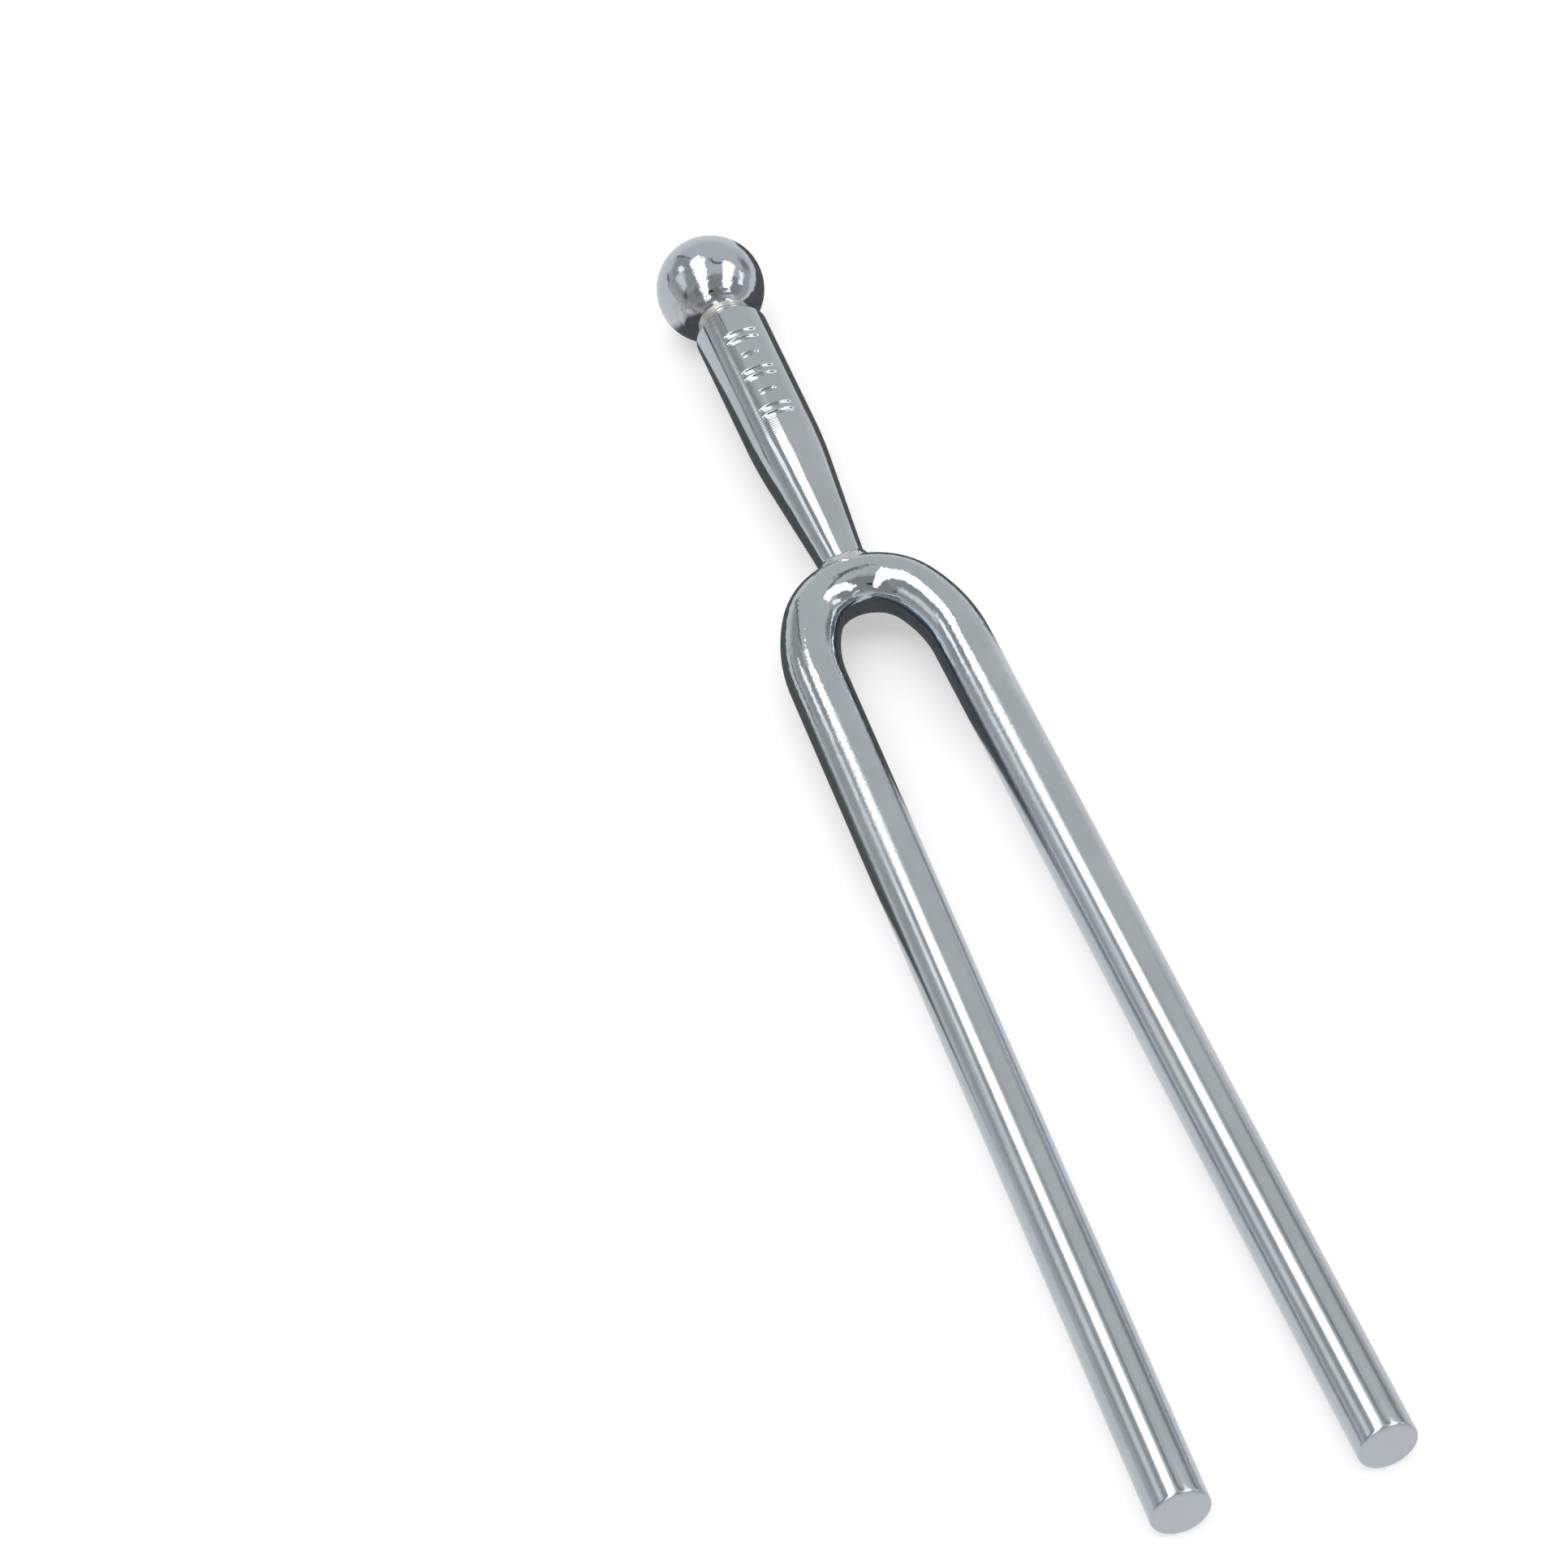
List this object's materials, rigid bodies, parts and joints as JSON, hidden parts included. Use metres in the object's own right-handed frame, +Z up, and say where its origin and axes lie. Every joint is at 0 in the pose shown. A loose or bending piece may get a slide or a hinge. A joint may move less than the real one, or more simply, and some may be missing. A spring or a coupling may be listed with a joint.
{
  "type": "tuning fork",
  "caption": "Chromed steel tuning fork: a round bar bent to a narrow U, a turned handle on the crown and a ball foot. Lies flat at rest.",
  "frame": {"origin": "centre of the footprint, on the surface that the fork lies on", "axes": "+X along the fork from the ball to the tine ends, +Y across the two tines, +Z up from the surface"},
  "size_m": [0.1266, 0.0196, 0.0083],
  "materials": {
    "bar_chrome": "mirror chrome plate on polished steel, softer towards the tine ends, with fine pits at the bend",
    "handle_chrome": "mirror chrome plate on turned steel, with fine turning ripples and stamped marks",
    "ball_chrome": "mirror chrome plate on a polished steel ball",
    "neck_solder": "dull, slightly warm grey solder under thin plate",
    "crown_solder": "bright plated solder fillet, a little lumpy"
  },
  "bodies": {
    "root": {"tine_bar": "bar_chrome", "handle": "handle_chrome", "ball": "ball_chrome", "neck_solder": "neck_solder", "crown_solder": "crown_solder"}
  },
  "joints": []
}
